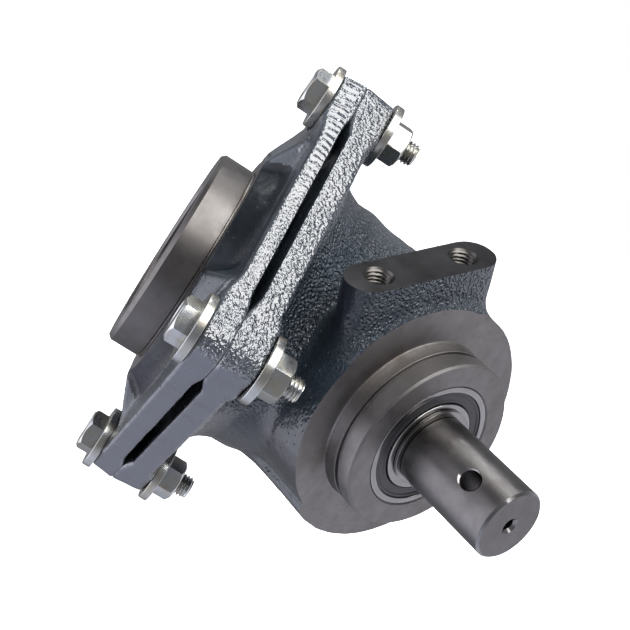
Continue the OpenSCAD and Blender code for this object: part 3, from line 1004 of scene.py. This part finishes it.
def circlip(name, r_in, width, lug, z, thick, turn, gap, fr, mats, outward=True):
    """A snap ring, widest opposite its gap, with a drilled lug at each end."""
    n = 96
    g = math.radians(gap) / 2
    th = np.linspace(g, 2 * math.pi - g, n)
    d = np.minimum(th - g, 2 * math.pi - g - th) * r_in
    w = width * (0.62 + 0.38 * (1 - np.cos(th)) / 2)
    bump = np.clip(1 - ((d - lug * 0.55) / (lug * 0.75)) ** 4, 0, 1)
    w = np.maximum(w, bump * lug)
    ri = np.full(n, r_in)
    ro = r_in + w if outward else r_in
    if not outward:
        ri = r_in - w
        ro = np.full(n, r_in)
    c, s = np.cos(th + turn), np.sin(th + turn)
    e = 0.18
    loops = [(ri, z + e), (ri + e, z), (ro - e, z), (ro, z + e), (ro, z + thick - e), (ro - e, z + thick), (ri + e, z + thick), (ri, z + thick - e)]
    V = np.concatenate([np.stack([r * c, r * s, np.full(n, h)], -1) for r, h in loops])
    m = len(loops)
    F = []
    for k in range(m):
        k2 = (k + 1) % m
        for i in range(n - 1):
            F.append((k * n + i, k * n + i + 1, k2 * n + i + 1, k2 * n + i))
    F.append(tuple(k * n for k in range(m)))
    F.append(tuple(k * n + n - 1 for k in reversed(range(m))))
    ob = make(name, place(V, fr), F, 0, mats)
    mid = r_in + lug * 0.52 if outward else r_in - lug * 0.52
    for sgn in (1, -1):
        a = turn + sgn * (g + lug * 0.55 / r_in)
        o = APEX + np.array([mid * math.cos(a), mid * math.sin(a), 0]) @ fr
        boolean(ob, [lathe("c", [(0, z - 1), (lug * 0.24, z - 1), (lug * 0.24, z + thick + 1), (0, z + thick + 1)], fr, 24, 0, mats, origin=o)])
    return ob


finish_piece(circlip("front_snap_ring", 14.35, 3.3, 4.0, 67.95, 1.5, math.radians(40), 24, OUT, [CLIP]), "output", 30, ["output_outer_circlip"])
finish_piece(circlip("rear_snap_ring", 14.35, 3.3, 4.0, 10.25, 1.5, 0.0, 24, OUT, [CLIP]), "output", 30, ["output_inner_circlip"])

# ---------------------------------------------------------------- input side
IN_MATS = [SHAFT_IN, BRIGHT]


def build_input_shaft():
    prof = [(0, 9.9), (16.8, 9.9), (17.5, 10.4), (16.6, 10.4), (16.6, 11.95), (17.5, 11.95), (17.5, 67.05), (16.6, 67.05), (16.6, 68.6), (17.5, 68.6), (17.5, 76.2), (16.7, 77.0), (0, 77.0)]
    s = lathe("input_shaft_hollow", prof, INP, 160, 0, IN_MATS)
    boolean(
        s,
        [
            lathe("c", [(0, 38), (10, 38), (10, 75.9), (11.2, 77.05), (11.2, 80), (0, 80)], INP, 96, 0, IN_MATS),
            box_mesh("c", (0, -3, 42), (12.8, 3, 82), INP, APEX, 0, IN_MATS),
            box_mesh("c", (-5, 12.5, 14), (5, 20.5, 31), INP, APEX, 0, IN_MATS),
        ],
    )
    return s


finish_piece(build_input_shaft(), "input", 24, ["input_shaft"])
finish_piece(circlip("input_shaft_snap_ring", 16.65, 3.6, 3.95, 67.05, 1.5, math.radians(90), 24, INP, [CLIP]), "input", 30, ["input_shaft_circlip"])
finish_piece(circlip("input_rear_snap_ring", 16.65, 3.6, 3.95, 10.42, 1.5, 0.0, 24, INP, [CLIP]), "input", 30, ["input_inner_circlip"])
finish_piece(circlip("bore_snap_ring", 32.45, 3.2, 4.6, 67.05, 1.5, math.radians(90), 20, INP, [CLIP], outward=False), "housing", 30, ["input_bore_circlip"])


def lip_seal():
    p = [(31, 70.2), (31, 76.6), (30.6, 77.0), (29.2, 77.0), (28.5, 76.2), (28.5, 73.2), (21.5, 73.0), (20.2, 74.2), (19.4, 77.0), (18.6, 77.0), (17.62, 75.4), (17.62, 74.6), (18.8, 73.0), (19.4, 70.4), (20.0, 70.0), (30.8, 70.0)]
    return lathe("lip_seal", soft(p, 0.35, 2), INP, 144, 0, [RUBBER])


finish_piece(lip_seal(), "housing", 30, ["input_seal"])

# ---------------------------------------------------------------- finishes of the pieces that stay as the CAD made them
FINISH = {
    "balls": BRIGHT,
    "ring": BRIGHT,
    "cage": BRASS,
    "gear": GEAR,
    "key": GEAR,
    "spacer": SHAFT,
    "circlip": CLIP,
    "o_ring": RUBBER,
    "seal": RUBBER,
}
for n, o in NODES.items():
    if o.hide_render:
        continue
    for key, m in FINISH.items():
        if key in n:
            pick = m
            break
    else:
        pick = GEAR
    if n.endswith("o_ring"):
        pick = RUBBER
    o.data.materials.clear()
    o.data.materials.append(pick)

# ---------------------------------------------------------------- floor and light
lo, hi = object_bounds()
bpy.ops.mesh.primitive_circle_add(vertices=96, radius=6, fill_type="NGON", location=(0, 0, lo.z - 0.0005))
floor = bpy.context.object
floor.name = "floor"
gf = bpy.data.materials.new("floor_white")
gf.use_nodes = True
bs = gf.node_tree.nodes["Principled BSDF"]
bs.inputs["Base Color"].default_value = (0.9, 0.9, 0.9, 1)
bs.inputs["Roughness"].default_value = 0.9
bs.inputs["Specular IOR Level"].default_value = 0.0
bs.inputs["Emission Color"].default_value = (1, 1, 1, 1)
bs.inputs["Emission Strength"].default_value = 1.3
floor.data.materials.append(gf)
# the floor is seen, but the metal mirrors the grey studio and not the lit paper
floor.visible_glossy = False
floor.visible_diffuse = False

CAM = np.array(cam.matrix_world)
AIM = np.array([-0.045, -0.010, 0.0])


def studio(direction):
    """A direction given in the camera's right, up and back, as it starts, in the model's frame."""
    d = CAM[:3, :3] @ np.array(direction, float)
    return d / np.linalg.norm(d)


world = bpy.data.worlds.new("studio")
scene.world = world
world.use_nodes = True
wt = world.node_tree
wt.nodes.clear()
w_out = wt.nodes.new("ShaderNodeOutputWorld")
w_seen = wt.nodes.new("ShaderNodeBackground")
w_seen.inputs[0].default_value = (1, 1, 1, 1)
w_light = wt.nodes.new("ShaderNodeBackground")
w_path = wt.nodes.new("ShaderNodeLightPath")
w_mix = wt.nodes.new("ShaderNodeMixShader")
w_tc = wt.nodes.new("ShaderNodeTexCoord")


def lobe(direction, lo_cos, hi_cos, color):
    """A soft patch of light in the surroundings."""
    dot = wt.nodes.new("ShaderNodeVectorMath")
    dot.operation = "DOT_PRODUCT"
    wt.links.new(w_tc.outputs["Generated"], dot.inputs[0])
    dot.inputs[1].default_value = tuple(studio(direction))
    mr = wt.nodes.new("ShaderNodeMapRange")
    mr.interpolation_type = "SMOOTHSTEP"
    mr.inputs["From Min"].default_value = lo_cos
    mr.inputs["From Max"].default_value = hi_cos
    wt.links.new(dot.outputs["Value"], mr.inputs["Value"])
    sc = wt.nodes.new("ShaderNodeVectorMath")
    sc.operation = "SCALE"
    sc.inputs[0].default_value = color
    wt.links.new(mr.outputs[0], sc.inputs["Scale"])
    return sc.outputs["Vector"]


def add_light(a, b):
    n = wt.nodes.new("ShaderNodeVectorMath")
    n.operation = "ADD"
    wt.links.new(a, n.inputs[0])
    if isinstance(b, tuple):
        n.inputs[1].default_value = b
    else:
        wt.links.new(b, n.inputs[1])
    return n.outputs["Vector"]


sky = add_light(lobe((-1.0, 0.10, 0.08), 0.48, 0.97, (1.95, 1.97, 2.22)), (0.27, 0.275, 0.30))
sky = add_light(sky, lobe((-0.45, -0.88, 0.10), 0.45, 0.95, (0.50, 0.53, 0.66)))
sky = add_light(sky, lobe((0.70, -0.67, -0.27), 0.45, 0.92, (0.78, 0.78, 0.88)))
wt.links.new(sky, w_light.inputs[0])
wt.links.new(w_path.outputs["Is Camera Ray"], w_mix.inputs[0])
wt.links.new(w_light.outputs[0], w_mix.inputs[1])
wt.links.new(w_seen.outputs[0], w_mix.inputs[2])
wt.links.new(w_mix.outputs[0], w_out.inputs[0])


def softbox(name, direction, distance, size, power, color=(1, 1, 1), aim=AIM):
    """A square lamp at direction, given in the camera's right, up and back."""
    d = studio(direction)
    data = bpy.data.lights.new(name, "AREA")
    data.shape = "RECTANGLE"
    data.size, data.size_y = size
    data.energy = power
    data.color = color
    ob = bpy.data.objects.new(name, data)
    scene.collection.objects.link(ob)
    ob.location = Vector(aim + d * distance)
    ob.rotation_mode = "QUATERNION"
    ob.rotation_quaternion = Vector(-d).to_track_quat("-Z", "Y")
    return ob


softbox("key", (0.50, 0.64, 0.58), 0.95, (0.95, 0.95), 4.8 * math.pi * 0.95 * 0.95, (1.0, 1.0, 1.0))
softbox("rim", (0.14, 0.96, -0.20), 0.95, (0.50, 0.46), 5.5 * math.pi * 0.50 * 0.46, (0.95, 0.97, 1.0))
scene.view_settings.view_transform = "Standard"
